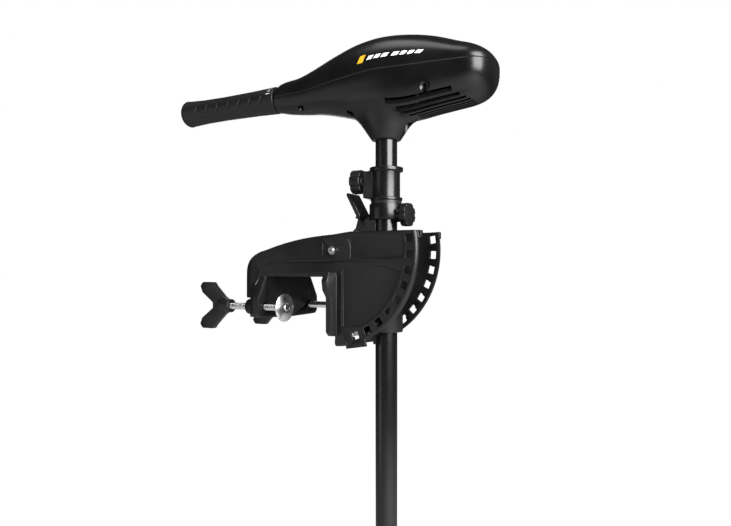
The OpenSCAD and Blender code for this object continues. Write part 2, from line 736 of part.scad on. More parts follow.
module motor_leads() {
    bend = neck_z + 58;
    low = pod_r - 9;
    color("#7c1f1f") steered() for (y = [-4, 4]) translate([0, y, 0]) {
        translate([0, 0, pod_z + low]) cylinder(r = 2.4, h = bend - pod_z - low);
        translate([0, 0, bend]) rod_x(2.4, -2.4, 20);
        translate([0, 0, pod_z + low]) rod_x(2.4, 7 - can_l / 2, 2.4);
    }
}
module motor_can() {
    color("#1e1e20") on_pod() difference() {
        union() {
            rod_x(pod_r, -can_l / 2, can_l / 2);
            cylinder(r1 = 27, r2 = shaft_d / 2 + 4, h = pod_r + 34);
        }
        rod_x(pod_r - pod_t, -can_l / 2 - 1, can_l / 2 + 1);
        translate([0, 0, pod_r - 8]) cylinder(r = shaft_d / 2, h = 60);
    }
}
module nose_cone() {
    r = pod_r;
    inner = r - pod_t;
    color("#1b1b1d") on_pod() rotate([0, -90, 0]) rotate_extrude($fn = 96) difference() {
        union() {
            difference() {
                polygon(concat([[0, can_l / 2]], [for (a = [0 : 7.5 : 90])
                    [r * cos(a), can_l / 2 + nose_l * pow(sin(a), 0.9)]]));
                polygon(concat([[0, can_l / 2 - 1], [inner, can_l / 2 - 1]], [for (a = [0 : 7.5 : 90])
                    [inner * cos(a), can_l / 2 + (nose_l - 6) * pow(sin(a), 0.9)]]));
            }
            translate([0, can_l / 2 + nose_l - 34]) square([bearing_r + 3, 30]);
        }
        translate([0, can_l / 2 + nose_l - 35]) square([bearing_r, 17]);
    }
}
module rear_bell() {
    color("#1b1b1d") on_pod() rotate([0, 90, 0]) rotate_extrude($fn = 96) difference() {
        polygon([[0, bell_x], [pod_r, bell_x], [pod_r - 2, bell_x + 14], [pod_r - 10, bell_x + 30],
            [bearing_r + 8, bell_x + bell_l - 3], [bearing_r + 5, bell_x + bell_l], [0, bell_x + bell_l]]);
        polygon([[0, bell_x - 1], [pod_r - pod_t, bell_x - 1], [pod_r - 6, bell_x + 13], [24, bell_x + 22],
            [bearing_r, bell_x + 22], [bearing_r, bell_x + bell_l + 1], [0, bell_x + bell_l + 1]]);
    }
}
module can_seals() {
    color("#0f0f10") on_pod() for (x = [-can_l / 2 + 1.3, can_l / 2 - 1.3]) translate([x, 0, 0])
        rotate([0, 90, 0]) rotate_extrude($fn = 96) translate([pod_r - pod_t - 1.2, 0]) circle(r = 1.2, $fn = 24);
}
module skeg() {
    front = -can_l / 2;
    color("#1b1b1d") on_pod() difference() {
        union() {
            upright(-2.5, 2.5) polygon([
                [front + 12, -pod_r], [front + 40, -skeg_drop + 22], [front + 58, -skeg_drop],
                [front + 86, -skeg_drop], [front + 96, -skeg_drop + 6], [can_l / 2 - 30, -pod_r]
            ]);
            translate([front + 6, -9, -pod_r - 3]) cube([can_l - 30, 18, 12]);
        }
        rod_x(pod_r, -can_l, can_l);
    }
}
through_bolt_r = 2.2;
module at_through_bolts() {
    on_pod() for (a = [35, -35, 145, -145]) rotate([a, 0, 0]) translate([0, 0, 7.8 - pod_r]) children();
}
module through_bolts() {
    color("#9d9d9a") at_through_bolts() rod_x(through_bolt_r, -can_l / 2 - 12, bell_x + 10);
}
module magnets() {
    color("#55585c") on_pod() difference() {
        pipe_x(pod_r - pod_t - 0.1, pod_r - pod_t - 6, -48, 48);
        translate([-60, -26, -100]) cube([120, 52, 200]);
    }
}
module brush_plate() {
    color("#5b4630") on_pod() difference() {
        rod_x(pod_r - pod_t - 3, -can_l / 2 + 4, -can_l / 2 + 7);
        rod_x(16, -can_l / 2, -can_l / 2 + 12);
        for (a = [35, -35, 145, -145]) rotate([a, 0, 0]) translate([0, 0, 7.8 - pod_r])
            rod_x(through_bolt_r + 0.2, -can_l / 2, 12 - can_l / 2);
    }
}
module brushes() {
    color("#3c3c3c") on_pod() for (side = [-1, 1])
        translate([-can_l / 2 + 7, side * 19.3 - 6, -4]) cube([12, 12, 8]);
}
module front_bearing() {
    x = -can_l / 2 - nose_l + 26;
    color("#a9b0b5") on_pod() pipe_x(bearing_r, axle_r + run_clear, x, x + 9);
}
module rear_bearing() {
    color("#a9b0b5") on_pod() pipe_x(bearing_r, axle_r + run_clear, bell_x + 23, bell_x + 32);
}
module shaft_seal() {
    color("#131313") on_pod() pipe_x(bearing_r, axle_r + run_clear, bell_x + bell_l - 8, bell_x + bell_l - 1);
}
module motor_axle() {
    color("#b9bdc0") on_pod() difference() {
        rod_x(axle_r, -can_l / 2 - nose_l + 22, hub_x + hub_l + 11.6);
        translate([hub_x + 3, 0, 0]) rod_y(2, 30);
    }
}
module armature() {
    color("#7a4a2a") on_pod() {
        difference() {
            pipe_x(28.5, axle_r, -44, 44);
            for (i = [0 : 11]) rotate([i * 30, 0, 0]) translate([-45, -1.2, 22]) cube([90, 2.4, 8]);
        }
        for (x = [-52, 44]) pipe_x(22, axle_r, x, x + 8);
    }
}
module commutator() {
    color("#b4793c") on_pod() pipe_x(13, axle_r, -can_l / 2 + 5, -52);
}
module drive_pin() {
    color("#c4c4c1") on_pod() translate([hub_x + 3, 0, 0]) rod_y(2 - 0.02, 30);
}

// Section of a blade at one radius: chord, thickness, pitch and rake back along the axis
function blade_ring(r) =
    let (k = (r - 19) / (prop_d / 2 - 19), chord = 46 + 26 * sin(150 * k) - 22 * k * k,
         thick = mix(8, 2, k), pitch = mix(58, 22, k), sweep = 26 * k * k)
    [for (j = [0 : 11]) let (a = 30 * j, u = chord / 2 * cos(a), v = thick / 2 * sin(a),
        x = u * sin(pitch) + v * cos(pitch), y = u * cos(pitch) - v * sin(pitch))
        [x + hub_x + hub_l / 2, y * cos(sweep) + r * sin(sweep), r * cos(sweep) - y * sin(sweep)]];
module blade() {
    radii = [for (i = [0 : 10]) mix(18, prop_d / 2, i / 10)];
    n = len(radii);
    points = [for (r = radii) each blade_ring(r)];
    faces = concat(
        [[for (j = [11 : -1 : 0]) j]],
        [for (i = [0 : n - 2]) for (j = [0 : 11]) let (a = i * 12 + j, b = i * 12 + (j + 1) % 12)
            each [[a, b, b + 12], [a, b + 12, a + 12]]],
        [[for (j = [0 : 11]) (n - 1) * 12 + j]]
    );
    polyhedron(points, faces);
}
module propeller() {
    color("#161617") on_pod() difference() {
        union() {
            rotate([0, 90, 0]) rotate_extrude($fn = 96) polygon([
                [0, hub_x], [20, hub_x], [22, hub_x + 3], [21, hub_x + 18],
                [17, hub_x + hub_l], [0, hub_x + hub_l]
            ]);
            for (a = [0, 180]) rotate([a, 0, 0]) blade();
        }
        rod_x(axle_r + 0.1, hub_x - 1, hub_x + hub_l + 1);
        // Slot that the drive pin sits in
        translate([hub_x - 1, -15.3, -2.2]) cube([6.2, 30.6, 4.4]);
    }
}
module prop_washer() {
    color("#c4c4c1") on_pod() pipe_x(9, axle_r + 0.1, hub_x + hub_l, hub_x + hub_l + 1.6);
}
module prop_nut() {
    x = hub_x + hub_l + 1.6;
    color("#19191b") on_pod() difference() {
        union() {
            rod_x(12, x, x + 3);
            translate([x + 3, 0, 0]) rotate([0, 90, 0]) cylinder(r = 9, h = 11, $fn = 6);
        }
        rod_x(axle_r, x - 1, x + 10);
    }
}

transom_bracket();
pivot_bolt();
pivot_nut();
clamp_inserts();
clamp_screw(-1);  // clamp_screw_left
clamp_knob(-1);  // clamp_knob_left
clamp_pad(-1);  // clamp_pad_left
clamp_screw(1);  // clamp_screw_right
clamp_knob(1);  // clamp_knob_right
clamp_pad(1);  // clamp_pad_right
tilt_hinge();
upper_bushing();
lower_bushing();
tension_screw();
tension_knob();
release_lever();
lever_pin();
lock_bar();
lock_spring();
depth_collar();
depth_screw();
depth_knob();
shaft_tube();
head_housing();
head_cover();
housing_screws();
neck_screw();
cable_grommet();
speed_switch();
switch_rotor();
tiller_bushing();
tiller_tube();
tiller_grip();
grip_drive_tube();
motor_leads();
motor_can();
nose_cone();
rear_bell();
skeg();
can_seals();
through_bolts();
magnets();
brush_plate();
brushes();
front_bearing();
rear_bearing();
shaft_seal();
motor_axle();
armature();
commutator();
drive_pin();
propeller();
prop_washer();
prop_nut();
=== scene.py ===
import json
import math

import bmesh
import bpy
import numpy as np
from mathutils import Matrix, Vector
from mathutils.bvhtree import BVHTree


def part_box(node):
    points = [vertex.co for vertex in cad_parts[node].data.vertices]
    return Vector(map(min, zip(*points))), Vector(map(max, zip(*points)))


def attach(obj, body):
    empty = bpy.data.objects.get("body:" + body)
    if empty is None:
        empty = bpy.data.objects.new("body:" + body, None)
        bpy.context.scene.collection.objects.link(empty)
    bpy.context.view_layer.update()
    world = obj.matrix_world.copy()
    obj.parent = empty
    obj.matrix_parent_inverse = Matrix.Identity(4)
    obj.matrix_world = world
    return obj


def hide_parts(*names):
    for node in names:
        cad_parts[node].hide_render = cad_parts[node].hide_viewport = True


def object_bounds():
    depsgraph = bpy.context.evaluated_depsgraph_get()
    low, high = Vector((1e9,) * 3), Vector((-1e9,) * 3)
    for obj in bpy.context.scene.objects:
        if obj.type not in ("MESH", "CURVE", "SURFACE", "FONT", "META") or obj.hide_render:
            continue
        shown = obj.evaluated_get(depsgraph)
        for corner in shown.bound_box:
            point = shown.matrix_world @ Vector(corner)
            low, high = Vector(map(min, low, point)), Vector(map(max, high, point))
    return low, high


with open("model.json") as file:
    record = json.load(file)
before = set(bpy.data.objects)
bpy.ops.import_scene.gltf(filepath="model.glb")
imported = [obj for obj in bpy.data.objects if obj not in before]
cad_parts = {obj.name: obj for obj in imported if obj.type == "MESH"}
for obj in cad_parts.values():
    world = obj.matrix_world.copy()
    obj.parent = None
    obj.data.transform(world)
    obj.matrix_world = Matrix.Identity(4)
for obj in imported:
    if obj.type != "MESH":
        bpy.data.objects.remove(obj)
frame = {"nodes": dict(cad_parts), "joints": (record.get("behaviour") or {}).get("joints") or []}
cad_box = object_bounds()

# ---- Studio ----
# A seamless white sweep. A large soft box stands to the right and draws the long bright line down
# the shaft, and weak ones above, beside and behind pick out the edges of the black plastic.
SCENE = bpy.context.scene


def linear(code, alpha=1.0):
    """Turns an sRGB hex colour into linear values."""
    parts = [int(code[i:i + 2], 16) / 255 for i in (1, 3, 5)]
    return [p / 12.92 if p <= 0.04045 else ((p + 0.055) / 1.055) ** 2.4 for p in parts] + [alpha]


def add(tree, kind, inputs=None, **settings):
    """Adds a node, with its settings, and its inputs as values or links."""
    made = tree.nodes.new(kind)
    for key, value in settings.items():
        setattr(made, key, value)
    for key, value in (inputs or {}).items():
        if isinstance(value, bpy.types.NodeSocket):
            tree.links.new(value, made.inputs[key])
        else:
            made.inputs[key].default_value = value
    return made


def facing(place, way):
    """Stands at a place and looks along a way."""
    return Matrix.Translation(place) @ Vector(way).to_track_quat("-Z", "Y").to_matrix().to_4x4()


camera_data = bpy.data.cameras.new("camera")
camera_data.sensor_width = 36.0
camera_data.lens = 33.34
camera = bpy.data.objects.new("camera", camera_data)
camera.matrix_world = facing((0.5681, -0.7575, 0.00485), (-0.5408, 0.8410, 0.0141))
SCENE.collection.objects.link(camera)
SCENE.camera = camera
SCENE.view_settings.view_transform = "Standard"


def soft_box(name, place, aim, width, height, watts):
    """A flat rectangular light that faces a point."""
    light = bpy.data.lights.new(name, "AREA")
    light.shape = "RECTANGLE"
    light.size, light.size_y, light.energy = width, height, watts
    made = bpy.data.objects.new(name, light)
    made.matrix_world = facing(place, Vector(aim) - Vector(place))
    SCENE.collection.objects.link(made)


soft_box("key_box", (1.79, -0.645, 0.75), (0.1, 0, 0.1), 1.7, 1.7, 118)
soft_box("top_box", (-0.1, -0.5, 1.6), (0.05, 0, 0.1), 0.9, 0.7, 6)
soft_box("fill_box", (-0.9, -1.3, -0.1), (0.0, 0, 0.0), 1.0, 1.2, 2.2)
soft_box("back_box", (-0.9, 1.3, 0.6), (0.05, 0, 0.0), 1.0, 1.2, 5)

world = bpy.data.worlds.new("studio")
world.use_nodes = True
SCENE.world = world
sky = world.node_tree
sky.nodes.clear()
seen = add(sky, "ShaderNodeBackground", {"Color": linear("#ffffff"), "Strength": 1.0})
glow = add(sky, "ShaderNodeBackground", {"Color": linear("#eef1f4"), "Strength": 0.07})
ray = add(sky, "ShaderNodeLightPath")
both = add(sky, "ShaderNodeMixShader", {0: ray.outputs["Is Camera Ray"], 1: glow.outputs[0],
                                        2: seen.outputs[0]})
add(sky, "ShaderNodeOutputWorld", {"Surface": both.outputs[0]})

FLOOR_HALF, FLOOR_GAP = 90.0, 0.002
floor_z = cad_box[0][2] - FLOOR_GAP
corners = [(x * FLOOR_HALF, y * FLOOR_HALF, floor_z) for x, y in ((-1, -1), (1, -1), (1, 1), (-1, 1))]
floor_mesh = bpy.data.meshes.new("floor")
floor_mesh.from_pydata(corners, [], [(0, 1, 2, 3)])
floor = bpy.data.objects.new("floor", floor_mesh)
SCENE.collection.objects.link(floor)
paper = bpy.data.materials.new("white_paper")
paper.use_nodes = True
sheet = paper.node_tree
sheet.nodes.clear()
matt = add(sheet, "ShaderNodeBsdfDiffuse", {"Color": linear("#c8c8c8")})
lit = add(sheet, "ShaderNodeEmission", {"Color": linear("#ffffff"), "Strength": 0.97})
ray = add(sheet, "ShaderNodeLightPath")
bright = add(sheet, "ShaderNodeAddShader", {0: matt.outputs[0], 1: lit.outputs[0]})
both = add(sheet, "ShaderNodeMixShader", {0: ray.outputs["Is Camera Ray"], 1: matt.outputs[0],
                                          2: bright.outputs[0]})
add(sheet, "ShaderNodeOutputMaterial", {"Surface": both.outputs[0]})
floor_mesh.materials.append(paper)

# ---- Transom bracket ----
# One large moulding in glass-filled nylon, near black with a satin skin. Two quadrant plates with
# nine notches hold the tilt, and a ribbed nose carries the clamp screws. Edges are well rounded.
MM = 0.001
NODES = frame["nodes"]
JOINT = {joint["name"]: joint for joint in frame["joints"]}
pivot = Vector(JOINT["tilt"]["pos_m"])


def plastic(name, colour, rough, grain_mm, depth, coat=0.0):
    """A moulded plastic. The mould's spark-eroded skin gives a grain, drawn coarser than it is so that
    it shows, and handling gives a faint cloud of gloss."""
    lighter = [c * 1.5 for c in linear(colour)[:3]] + [1]
    material = bpy.data.materials.new(name)
    material.use_nodes = True
    tree = material.node_tree
    skin = tree.nodes["Principled BSDF"]
    place = add(tree, "ShaderNodeTexCoord").outputs["Object"]
    cloud = add(tree, "ShaderNodeTexNoise", {"Vector": place, "Scale": 28.0, "Detail": 4.0})
    worn = add(tree, "ShaderNodeMapRange", {"Value": cloud.outputs["Fac"], "From Min": 0.3, "From Max": 0.7,
                                            "To Min": rough - 0.05, "To Max": rough + 0.07})
    tint = add(tree, "ShaderNodeMix", {0: cloud.outputs["Fac"], 6: linear(colour), 7: lighter},
               data_type="RGBA")
    grain = add(tree, "ShaderNodeTexNoise", {"Vector": place, "Scale": 1 / (grain_mm * MM), "Detail": 2.0})
    bump = add(tree, "ShaderNodeBump", {"Height": grain.outputs["Fac"], "Strength": 0.35,
                                        "Distance": depth * MM})
    tree.links.new(tint.outputs[2], skin.inputs["Base Color"])
    tree.links.new(worn.outputs[0], skin.inputs["Roughness"])
    tree.links.new(bump.outputs[0], skin.inputs["Normal"])
    skin.inputs["IOR"].default_value = 1.5
    skin.inputs["Coat Weight"].default_value = coat
    skin.inputs["Coat Roughness"].default_value = 0.2
    return material


def piece(name, mesh, material, body, slot, *nodes):
    """Makes a finished mesh into a piece that rides on a body and stands for its nodes."""
    mesh.name = name
    mesh.materials.clear()
    mesh.materials.append(material)
    made = bpy.data.objects.new(name, mesh)
    SCENE.collection.objects.link(made)
    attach(made, body)
    if nodes:
        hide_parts(*nodes)
    return made


def settled(made):
    """Turns an object and its modifiers into a plain mesh, and removes the object."""
    bpy.context.view_layer.update()
    mesh = bpy.data.meshes.new_from_object(made.evaluated_get(bpy.context.evaluated_depsgraph_get()))
    bpy.data.objects.remove(made)
    return mesh


def smoothed(mesh, angle=40):
    """Shades a mesh smooth, but for its edges sharper than an angle."""
    for face in mesh.polygons:
        face.use_smooth = True
    mesh.set_sharp_from_angle(angle=math.radians(angle))
    return mesh


def eased(node, radius, segments=2):
    """The node's own shape, with its hard edges rounded as a mould or a casting leaves them. A point
    that the rounding throws off the surface goes back to it."""
    form = bmesh.new()
    form.from_mesh(NODES[node].data)
    bmesh.ops.remove_doubles(form, verts=form.verts, dist=0.02 * MM)
    mesh = bpy.data.meshes.new(node + "_eased")
    form.to_mesh(mesh)
    form.free()
    made = bpy.data.objects.new(node + "_eased", mesh)
    SCENE.collection.objects.link(made)
    round_off = made.modifiers.new("round_off", "BEVEL")
    round_off.width = radius * MM
    round_off.segments = segments
    round_off.limit_method = "ANGLE"
    round_off.angle_limit = math.radians(38)
    round_off.use_clamp_overlap = False
    round_off.harden_normals = False
    result = settled(made)
    skin = BVHTree.FromPolygons([v.co for v in mesh.vertices], [f.vertices for f in mesh.polygons])
    for point in result.vertices:
        near, _, _, gap = skin.find_nearest(point.co)
        if gap > 0.6 * radius * MM:
            point.co = near
    return smoothed(result, 32)


bracket_nylon = plastic("bracket_nylon_satin", "#0d0d0e", 0.38, 0.5, 0.04)
BOSS_FACE = pivot.x - 124 * MM


def shortened(mesh, plane, way, share, top=1.0):
    """Draws in what reaches past a plane across X, on the way given and below a height."""
    for point in mesh.vertices:
        past = (point.co.x - plane) * way
        if past > 0 and point.co.z < top:
            point.co.x = plane + way * past * share
    return mesh


moulding = shortened(eased("transom_bracket", 0.9), BOSS_FACE, -1, 0.55, pivot.z - 64.9 * MM)
piece("bracket_moulding", moulding, bracket_nylon, "bracket", "bracket_plastic", "transom_bracket")


def bead_tree(name, material):
    """Sweeps a round bead along a path, which is the raised moulding on the bracket's sides."""
    tree = bpy.data.node_groups.new(name, "GeometryNodeTree")
    face = tree.interface
    face.new_socket("Geometry", in_out="INPUT", socket_type="NodeSocketGeometry")
    face.new_socket("Radius", in_out="INPUT", socket_type="NodeSocketFloat").default_value = 1.2 * MM
    face.new_socket("Sides", in_out="INPUT", socket_type="NodeSocketInt").default_value = 12
    face.new_socket("Geometry", in_out="OUTPUT", socket_type="NodeSocketGeometry")
    given = add(tree, "NodeGroupInput")
    path = add(tree, "GeometryNodeMeshToCurve", {"Mesh": given.outputs["Geometry"]})
    ring = add(tree, "GeometryNodeCurvePrimitiveCircle", {"Resolution": given.outputs["Sides"],
                                                          "Radius": given.outputs["Radius"]})
    sweep = add(tree, "GeometryNodeCurveToMesh", {"Curve": path.outputs[0], "Profile Curve": ring.outputs[0],
                                                  "Fill Caps": True})
    real = add(tree, "GeometryNodeRealizeInstances", {"Geometry": sweep.outputs[0]})
    smooth = add(tree, "GeometryNodeSetShadeSmooth", {0: real.outputs[0]})
    painted = add(tree, "GeometryNodeSetMaterial", {"Geometry": smooth.outputs[0], "Material": material})
    add(tree, "NodeGroupOutput", {0: painted.outputs[0]})
    return tree


def swept(tree, paths, radius):
    """One mesh of the beads along these paths."""
    points, edges = [], []
    for path in paths:
        edges += [(len(points) + i, len(points) + i + 1) for i in range(len(path) - 1)]
        points += [Vector(p) for p in path]
    mesh = bpy.data.meshes.new("path")
    mesh.from_pydata(points, edges, [])
    made = bpy.data.objects.new("path", mesh)
    SCENE.collection.objects.link(made)
    sweep = made.modifiers.new("sweep", "NODES")
    sweep.node_group = tree
    sockets = {s.name: s.identifier for s in tree.interface.items_tree if s.in_out == "INPUT"}
    sweep[sockets["Radius"]] = radius * MM
    return settled(made)


def smooth_path(points, steps=8):
    """Passes a smooth curve through the points."""
    ends = [points[0]] + list(points) + [points[-1]]
    out = []
    for i in range(1, len(ends) - 2):
        a, b, c, d = (np.array(ends[i + k], float) for k in (-1, 0, 1, 2))
        for s in range(steps):
            t = s / steps
            out.append(0.5 * (2 * b + (c - a) * t + (2 * a - 5 * b + 4 * c - d) * t * t
                              + (3 * b - a - 3 * c + d) * t ** 3))
    return [tuple(p) for p in out] + [tuple(points[-1])]


def at_pivot(x, y, z):
    """A place given in millimetres from the pivot bolt."""
    return pivot + Vector((x, y, z)) * MM


bracket_data = NODES["transom_bracket"].data
side_of_bracket = BVHTree.FromPolygons([v.co for v in bracket_data.vertices],
                                       [f.vertices for f in bracket_data.polygons])


def on_side(side, line, sink):
    """Lays a line of X and Z values on the bracket's outer face, sunk a little into it."""
    laid = []
    for x, z in line:
        start = at_pivot(x, side * 90, z)
        hit = side_of_bracket.ray_cast(start, Vector((0, -side, 0)), 0.09)
        if hit[0] is not None:
            laid.append(hit[0] - Vector((0, side * sink * MM, 0)))
    return laid


bead_line = smooth_path([(106, -13), (60, -13.5), (0, -14), (-60, -14.5), (-88, -16), (-101, -21),
                         (-109, -29), (-114, -46)])
rib_line = [(15, -27 - 4 * i) for i in range(19)]
pocket_line = smooth_path([(-78, -4), (-46, 3.5), (-16, 9)]) + smooth_path([(-16, 8), (-16, -8)])
pocket_line += smooth_path([(-17, -8.5), (-48, -8.5), (-78, -8.5), (-82, -6), (-79, -4)])
step_line = [(28 * math.cos(math.radians(a)), 28 * math.sin(math.radians(a))) for a in range(-22, 34, 4)]
beads = bead_tree("bead", bracket_nylon)
bead_lines = [on_side(s, bead_line, 0.4) for s in (-1, 1)]
piece("bracket_beads", swept(beads, bead_lines, 1.7), bracket_nylon, "bracket", "bracket_plastic")
fine_lines = [on_side(s, line, 0.25) for s in (-1, 1) for line in (rib_line, pocket_line, step_line)]
piece("bracket_ribs", swept(beads, fine_lines, 0.7), bracket_nylon, "bracket", "bracket_plastic")


# ---- Pivot bolt and nut ----
# A stainless cap-head bolt on plain washers, turned and left bright. It carries the whole tilt
# hinge, and a nut holds its far end.


def metal(name, colour, rough, lay_mm):
    """A bright metal. Lay is the spacing of its fine marks, which stay on zinc and on stainless steel."""
    duller = [c * 0.9 for c in linear(colour)[:3]] + [1]
    material = bpy.data.materials.new(name)
    material.use_nodes = True
    tree = material.node_tree
    skin = tree.nodes["Principled BSDF"]
    place = add(tree, "ShaderNodeTexCoord").outputs["Object"]
    cloud = add(tree, "ShaderNodeTexNoise", {"Vector": place, "Scale": 90.0, "Detail": 5.0})
    worn = add(tree, "ShaderNodeMapRange", {"Value": cloud.outputs["Fac"], "From Min": 0.3, "From Max": 0.7,
                                            "To Min": rough - 0.06, "To Max": rough + 0.1})
    tint = add(tree, "ShaderNodeMix", {0: cloud.outputs["Fac"], 6: linear(colour), 7: duller},
               data_type="RGBA")
    lay = add(tree, "ShaderNodeTexNoise", {"Vector": place, "Scale": 1 / (lay_mm * MM), "Detail": 3.0})
    bump = add(tree, "ShaderNodeBump", {"Height": lay.outputs["Fac"], "Strength": 0.06,
                                        "Distance": 0.004 * MM})
    tree.links.new(tint.outputs[2], skin.inputs["Base Color"])
    tree.links.new(worn.outputs[0], skin.inputs["Roughness"])
    tree.links.new(bump.outputs[0], skin.inputs["Normal"])
    skin.inputs["Metallic"].default_value = 1.0
    return material


stainless = metal("stainless_turned", "#b9babb", 0.26, 0.4)
piece("pivot_nut_steel", eased("pivot_nut", 0.4), stainless, "bracket", "stainless", "pivot_nut")


def skin_rings(rings, closed_ends=True):
    """Joins equal rings of points into a closed skin."""
    n = len(rings[0])
    points = [p for ring in rings for p in ring]
    faces = [(i * n + j, i * n + (j + 1) % n, (i + 1) * n + (j + 1) % n, (i + 1) * n + j)
             for i in range(len(rings) - 1) for j in range(n)]
    if closed_ends:
        faces += [tuple(range(n))[::-1], tuple(range((len(rings) - 1) * n, len(rings) * n))]
    return points, faces


def skin_mesh(name, points, faces, sharp=35):
    """A mesh from points and faces, its doubles merged and its faces turned outwards."""
    form = bmesh.new()
    made = [form.verts.new(p) for p in points]
    for face in faces:
        if len(set(face)) > 2:
            form.faces.new([made[i] for i in face])
    bmesh.ops.remove_doubles(form, verts=form.verts, dist=0.01 * MM)
    bmesh.ops.recalc_face_normals(form, faces=form.faces)
    mesh = bpy.data.meshes.new(name)
    form.to_mesh(mesh)
    form.free()
    return smoothed(mesh, sharp)


def ring(place, x, radii):
    """A ring of points round a place's X axis, one for each radius, in millimetres."""
    n = len(radii)
    return [place @ (Vector((x, r * math.cos(2 * math.pi * j / n), r * math.sin(2 * math.pi * j / n))) * MM)
            for j, r in enumerate(radii)]


def turned(name, profile, place, sides=72, sharp=35):
    """A body of revolution about X: the profile is distances along X and radii, in millimetres."""
    rings = [ring(place, x, [max(r, 0.001)] * sides) for x, r in profile]
    return skin_mesh(name, *skin_rings(rings), sharp)


bolt_at = Matrix.Translation(pivot) @ Matrix.Rotation(-math.pi / 2, 4, "Z")
bolt_profile = [(-41, 0.01), (-41, 3.4), (-40.4, 4), (34, 4), (34, 5.3), (34.4, 5.7), (35.2, 5.7), (35.4, 5.3),
                (35.4, 4.7), (37.6, 4.6), (38.3, 4.1), (38.5, 3.4), (38.5, 1.9), (36.3, 1.9), (36.3, 0.01)]
bolt = turned("bolt", bolt_profile, bolt_at, 48, 30)
piece("pivot_bolt_steel", bolt, stainless, "bracket", "stainless", "pivot_bolt")

# ---- Clamp screws, knobs and pads ----
# Zinc-plated rolled screws turned by two-winged nylon knobs. Each pushes a pressed pad, a shallow
# silver dish with the swaged end of the screw at its centre.
zinc = metal("zinc_plate_bright", "#e4e5e5", 0.24, 0.5)
knob_nylon = plastic("knob_nylon_satin", "#0f0f10", 0.38, 0.4, 0.04)
THREAD_PITCH, THREAD_DEPTH, FADE = 1.5875, 0.55, 3
PLAIN_HEAD, PLAIN_TIP, TIP_R, SCREW_SIDES = 20, 14, 4.76, 28

for side in ("left", "right"):
    low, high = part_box("clamp_screw_" + side)
    centre = (low + high) / 2
    axis_at = Matrix.Translation((low.x, centre.y, centre.z))
    length = (high.x - low.x) / MM
    crest = (high.y - low.y) / 2 / MM
    root = crest - THREAD_DEPTH
    rows = []
    x = 0.0
    while x <= length - TIP_R:
        fade = max(0.0, min(1.0, (x - PLAIN_HEAD) / FADE, (length - PLAIN_TIP - x) / FADE))
        turns = [x / THREAD_PITCH - j / SCREW_SIDES for j in range(SCREW_SIDES)]
        rows.append(ring(axis_at, x, [crest - (crest - root) * fade * (0.5 + 0.5 * math.cos(2 * math.pi * t))
                                      for t in turns]))
        x += THREAD_PITCH / 6
    ball = length - crest
    for k in range(1, 9):
        a = math.pi / 2 * k / 8
        rows.append(ring(axis_at, ball + crest * math.sin(a), [max(0.01, crest * math.cos(a))] * SCREW_SIDES))
    screw = skin_mesh("screw", *skin_rings(rows), 60)
    piece(f"clamp_screw_{side}_rolled", screw, zinc, "screw_" + side, "zinc_steel", "clamp_screw_" + side)
    hub_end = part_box("clamp_knob_" + side)[1].x
    knob = shortened(eased("clamp_knob_" + side, 1.6, 3), hub_end - 10 * MM, 1, 0.4)
    piece(f"clamp_knob_{side}_moulding", knob, knob_nylon, "screw_" + side, "knob_plastic",
          "clamp_knob_" + side)
    low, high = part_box("clamp_pad_" + side)
    rim = (high.y - low.y) / 2 / MM
    middle = Matrix.Translation((low.x, (low.y + high.y) / 2, (low.z + high.z) / 2))
    deep = (high.x - low.x) / MM
    profile = [(0, 0.01), (0, 6.4), (0.5, 6.75), (6.2, 6.75), (7.2, 7.4), (4.6, rim - 1.6), (4.3, rim - 0.6),
               (4.5, rim - 0.05), (5.1, rim), (5.6, rim - 0.5), (6.4, rim - 2.0), (8.6, 8.2), (8.9, 6.6),
               (8.7, 5.9), (8.3, 5.2), (8.3, 4.6), (deep - 0.3, 4.2), (deep, 3.4), (deep, 0.01)]
    pad = turned("pad", profile, middle, 96, 50)
    piece(f"clamp_pad_{side}_pressing", pad, zinc, "pad_" + side, "zinc_steel", "clamp_pad_" + side)

# The threaded sleeves in the bracket's bosses are blackened, so the bright screws stand out
black_steel = metal("steel_black_oxide", "#2a2a2b", 0.45, 0.4)
inserts = shortened(eased("clamp_inserts", 0.5), BOSS_FACE, -1, 0.55)
piece("clamp_inserts_steel", inserts, black_steel, "bracket", "brass", "clamp_inserts")

# ---- Tilt hinge, its lever and lock ----
# A glossy black nylon moulding with two cheeks round the release lever. Cam slots in the lever
# drive a steel bar into the quadrants' notches, and a spring brings it back.
hinge_nylon = plastic("hinge_nylon_gloss", "#0d0d0e", 0.24, 0.5, 0.02)
piece("hinge_moulding", eased("tilt_hinge", 0.8), hinge_nylon, "hinge", "hinge_plastic", "tilt_hinge")
piece("lever_moulding", eased("release_lever", 1.0, 3), hinge_nylon, "lever", "hinge_plastic",
      "release_lever")


def dress(material, *names):
    """Gives CAD nodes that already have the right shape their finish."""
    for name in names:
        data = NODES[name].data
        data.materials.clear()
        data.materials.append(material)


acetal = plastic("acetal_bushing_black", "#1a1a1b", 0.35, 0.6, 0.02)
dress(acetal, "upper_bushing", "lower_bushing")
dress(stainless, "lever_pin", "lock_bar", "lock_spring")

# ---- Steering tension and depth collar ----
# Moulded nylon knobs on zinc-plated screws. One is screwed through the hinge and drags on the
# shaft. The other closes a split collar above the hinge, which sets the depth.
piece("tension_knob_moulding", eased("tension_knob", 0.8, 3), knob_nylon, "tension", "knob_plastic",
      "tension_knob")
dress(zinc, "tension_screw", "depth_screw")
piece("collar_moulding", eased("depth_collar", 0.8, 3), hinge_nylon, "collar", "hinge_plastic",
      "depth_collar")
piece("depth_knob_moulding", eased("depth_knob", 1.0, 3), knob_nylon, "depth_clamp", "knob_plastic",
      "depth_knob")

